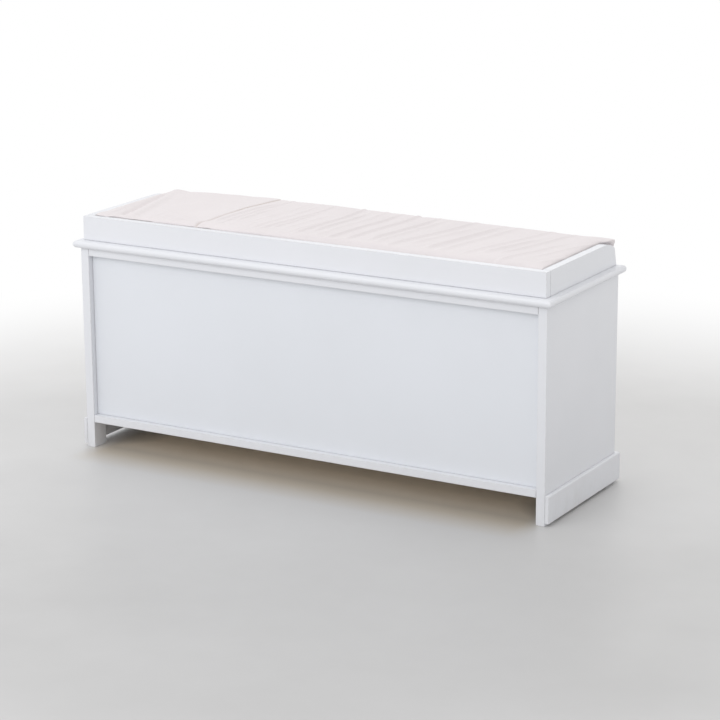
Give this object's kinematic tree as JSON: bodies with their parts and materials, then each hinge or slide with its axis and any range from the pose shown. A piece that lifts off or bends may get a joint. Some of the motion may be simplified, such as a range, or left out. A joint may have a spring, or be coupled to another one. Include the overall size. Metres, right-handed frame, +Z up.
{
  "type": "storage bench",
  "caption": "White painted storage bench with plinth, three-sided rim round a loose seat cushion, and deep drawers side by side on telescoping slides.",
  "frame": {"origin": "on the floor, under the centre of the whole object's box, knobs included", "axes": "+X along the length, to the right of a person facing the drawers; the drawers open towards -Y and the plain back faces +Y; +Z up"},
  "size_m": [1.04, 0.34, 0.478],
  "materials": {
    "painted_wood": "white satin lacquer on fibreboard, faint roller texture, edges slightly rounded",
    "painted_panel": "white satin lacquer on thin fibreboard back panel",
    "drawer_box": "white foil wrapped board, matt",
    "drawer_base": "white faced thin hardboard, matt",
    "zinc_steel": "bright zinc plated rolled steel",
    "satin_nickel": "satin nickel plated, turned",
    "cotton_cover": "ecru plain weave cotton, matt, softly wrinkled"
  },
  "bodies": {
    "carcass": {"side_panel_left": "painted_wood", "side_panel_right": "painted_wood", "bottom_board": "painted_wood", "rear_top_rail": "painted_wood", "front_top_rail": "painted_wood", "divider_left": "painted_wood", "divider_right": "painted_wood", "top_board": "painted_wood", "rim_back": "painted_wood", "rim_left": "painted_wood", "rim_right": "painted_wood", "front_plinth": "painted_wood", "side_plinth_left": "painted_wood", "side_plinth_right": "painted_wood", "back_panel": "painted_panel", "left_slide_left_cabinet": "zinc_steel", "left_slide_right_cabinet": "zinc_steel", "middle_slide_left_cabinet": "zinc_steel", "middle_slide_right_cabinet": "zinc_steel", "right_slide_left_cabinet": "zinc_steel", "right_slide_right_cabinet": "zinc_steel"},
    "cushion": {"cushion": "cotton_cover"},
    "left_drawer": {"left_drawer_front": "painted_wood", "left_knob": "satin_nickel", "left_knob_screw": "zinc_steel", "left_drawer_side_left": "drawer_box", "left_drawer_side_right": "drawer_box", "left_drawer_back": "drawer_box", "left_drawer_bottom": "drawer_base", "left_slide_left_drawer": "zinc_steel", "left_slide_right_drawer": "zinc_steel"},
    "left_slide_middles": {"left_slide_left_middle": "zinc_steel", "left_slide_right_middle": "zinc_steel"},
    "middle_drawer": {"middle_drawer_front": "painted_wood", "middle_knob": "satin_nickel", "middle_knob_screw": "zinc_steel", "middle_drawer_side_left": "drawer_box", "middle_drawer_side_right": "drawer_box", "middle_drawer_back": "drawer_box", "middle_drawer_bottom": "drawer_base", "middle_slide_left_drawer": "zinc_steel", "middle_slide_right_drawer": "zinc_steel"},
    "middle_slide_middles": {"middle_slide_left_middle": "zinc_steel", "middle_slide_right_middle": "zinc_steel"},
    "right_drawer": {"right_drawer_front": "painted_wood", "right_knob": "satin_nickel", "right_knob_screw": "zinc_steel", "right_drawer_side_left": "drawer_box", "right_drawer_side_right": "drawer_box", "right_drawer_back": "drawer_box", "right_drawer_bottom": "drawer_base", "right_slide_left_drawer": "zinc_steel", "right_slide_right_drawer": "zinc_steel"},
    "right_slide_middles": {"right_slide_left_middle": "zinc_steel", "right_slide_right_middle": "zinc_steel"}
  },
  "joints": [
    {"name": "left_drawer_slide", "type": "slide", "parent": "carcass", "child": "left_drawer", "axis": [0, -1, 0], "range_m": [0, 0.24]},
    {"name": "left_slide_middles_travel", "type": "slide", "parent": "carcass", "child": "left_slide_middles", "axis": [0, -1, 0], "range_m": [0, 0.12]},
    {"name": "middle_drawer_slide", "type": "slide", "parent": "carcass", "child": "middle_drawer", "axis": [0, -1, 0], "range_m": [0, 0.24]},
    {"name": "middle_slide_middles_travel", "type": "slide", "parent": "carcass", "child": "middle_slide_middles", "axis": [0, -1, 0], "range_m": [0, 0.12]},
    {"name": "right_drawer_slide", "type": "slide", "parent": "carcass", "child": "right_drawer", "axis": [0, -1, 0], "range_m": [0, 0.24]},
    {"name": "right_slide_middles_travel", "type": "slide", "parent": "carcass", "child": "right_slide_middles", "axis": [0, -1, 0], "range_m": [0, 0.12]},
    {"name": "cushion_lift", "type": "slide", "parent": "carcass", "child": "cushion", "axis": [0, 0, 1], "range_m": [0, 0.1]}
  ],
  "couplings": [
    {"joint": "left_slide_middles_travel", "follows": "left_drawer_slide", "ratio": 0.5},
    {"joint": "middle_slide_middles_travel", "follows": "middle_drawer_slide", "ratio": 0.5},
    {"joint": "right_slide_middles_travel", "follows": "right_drawer_slide", "ratio": 0.5}
  ]
}
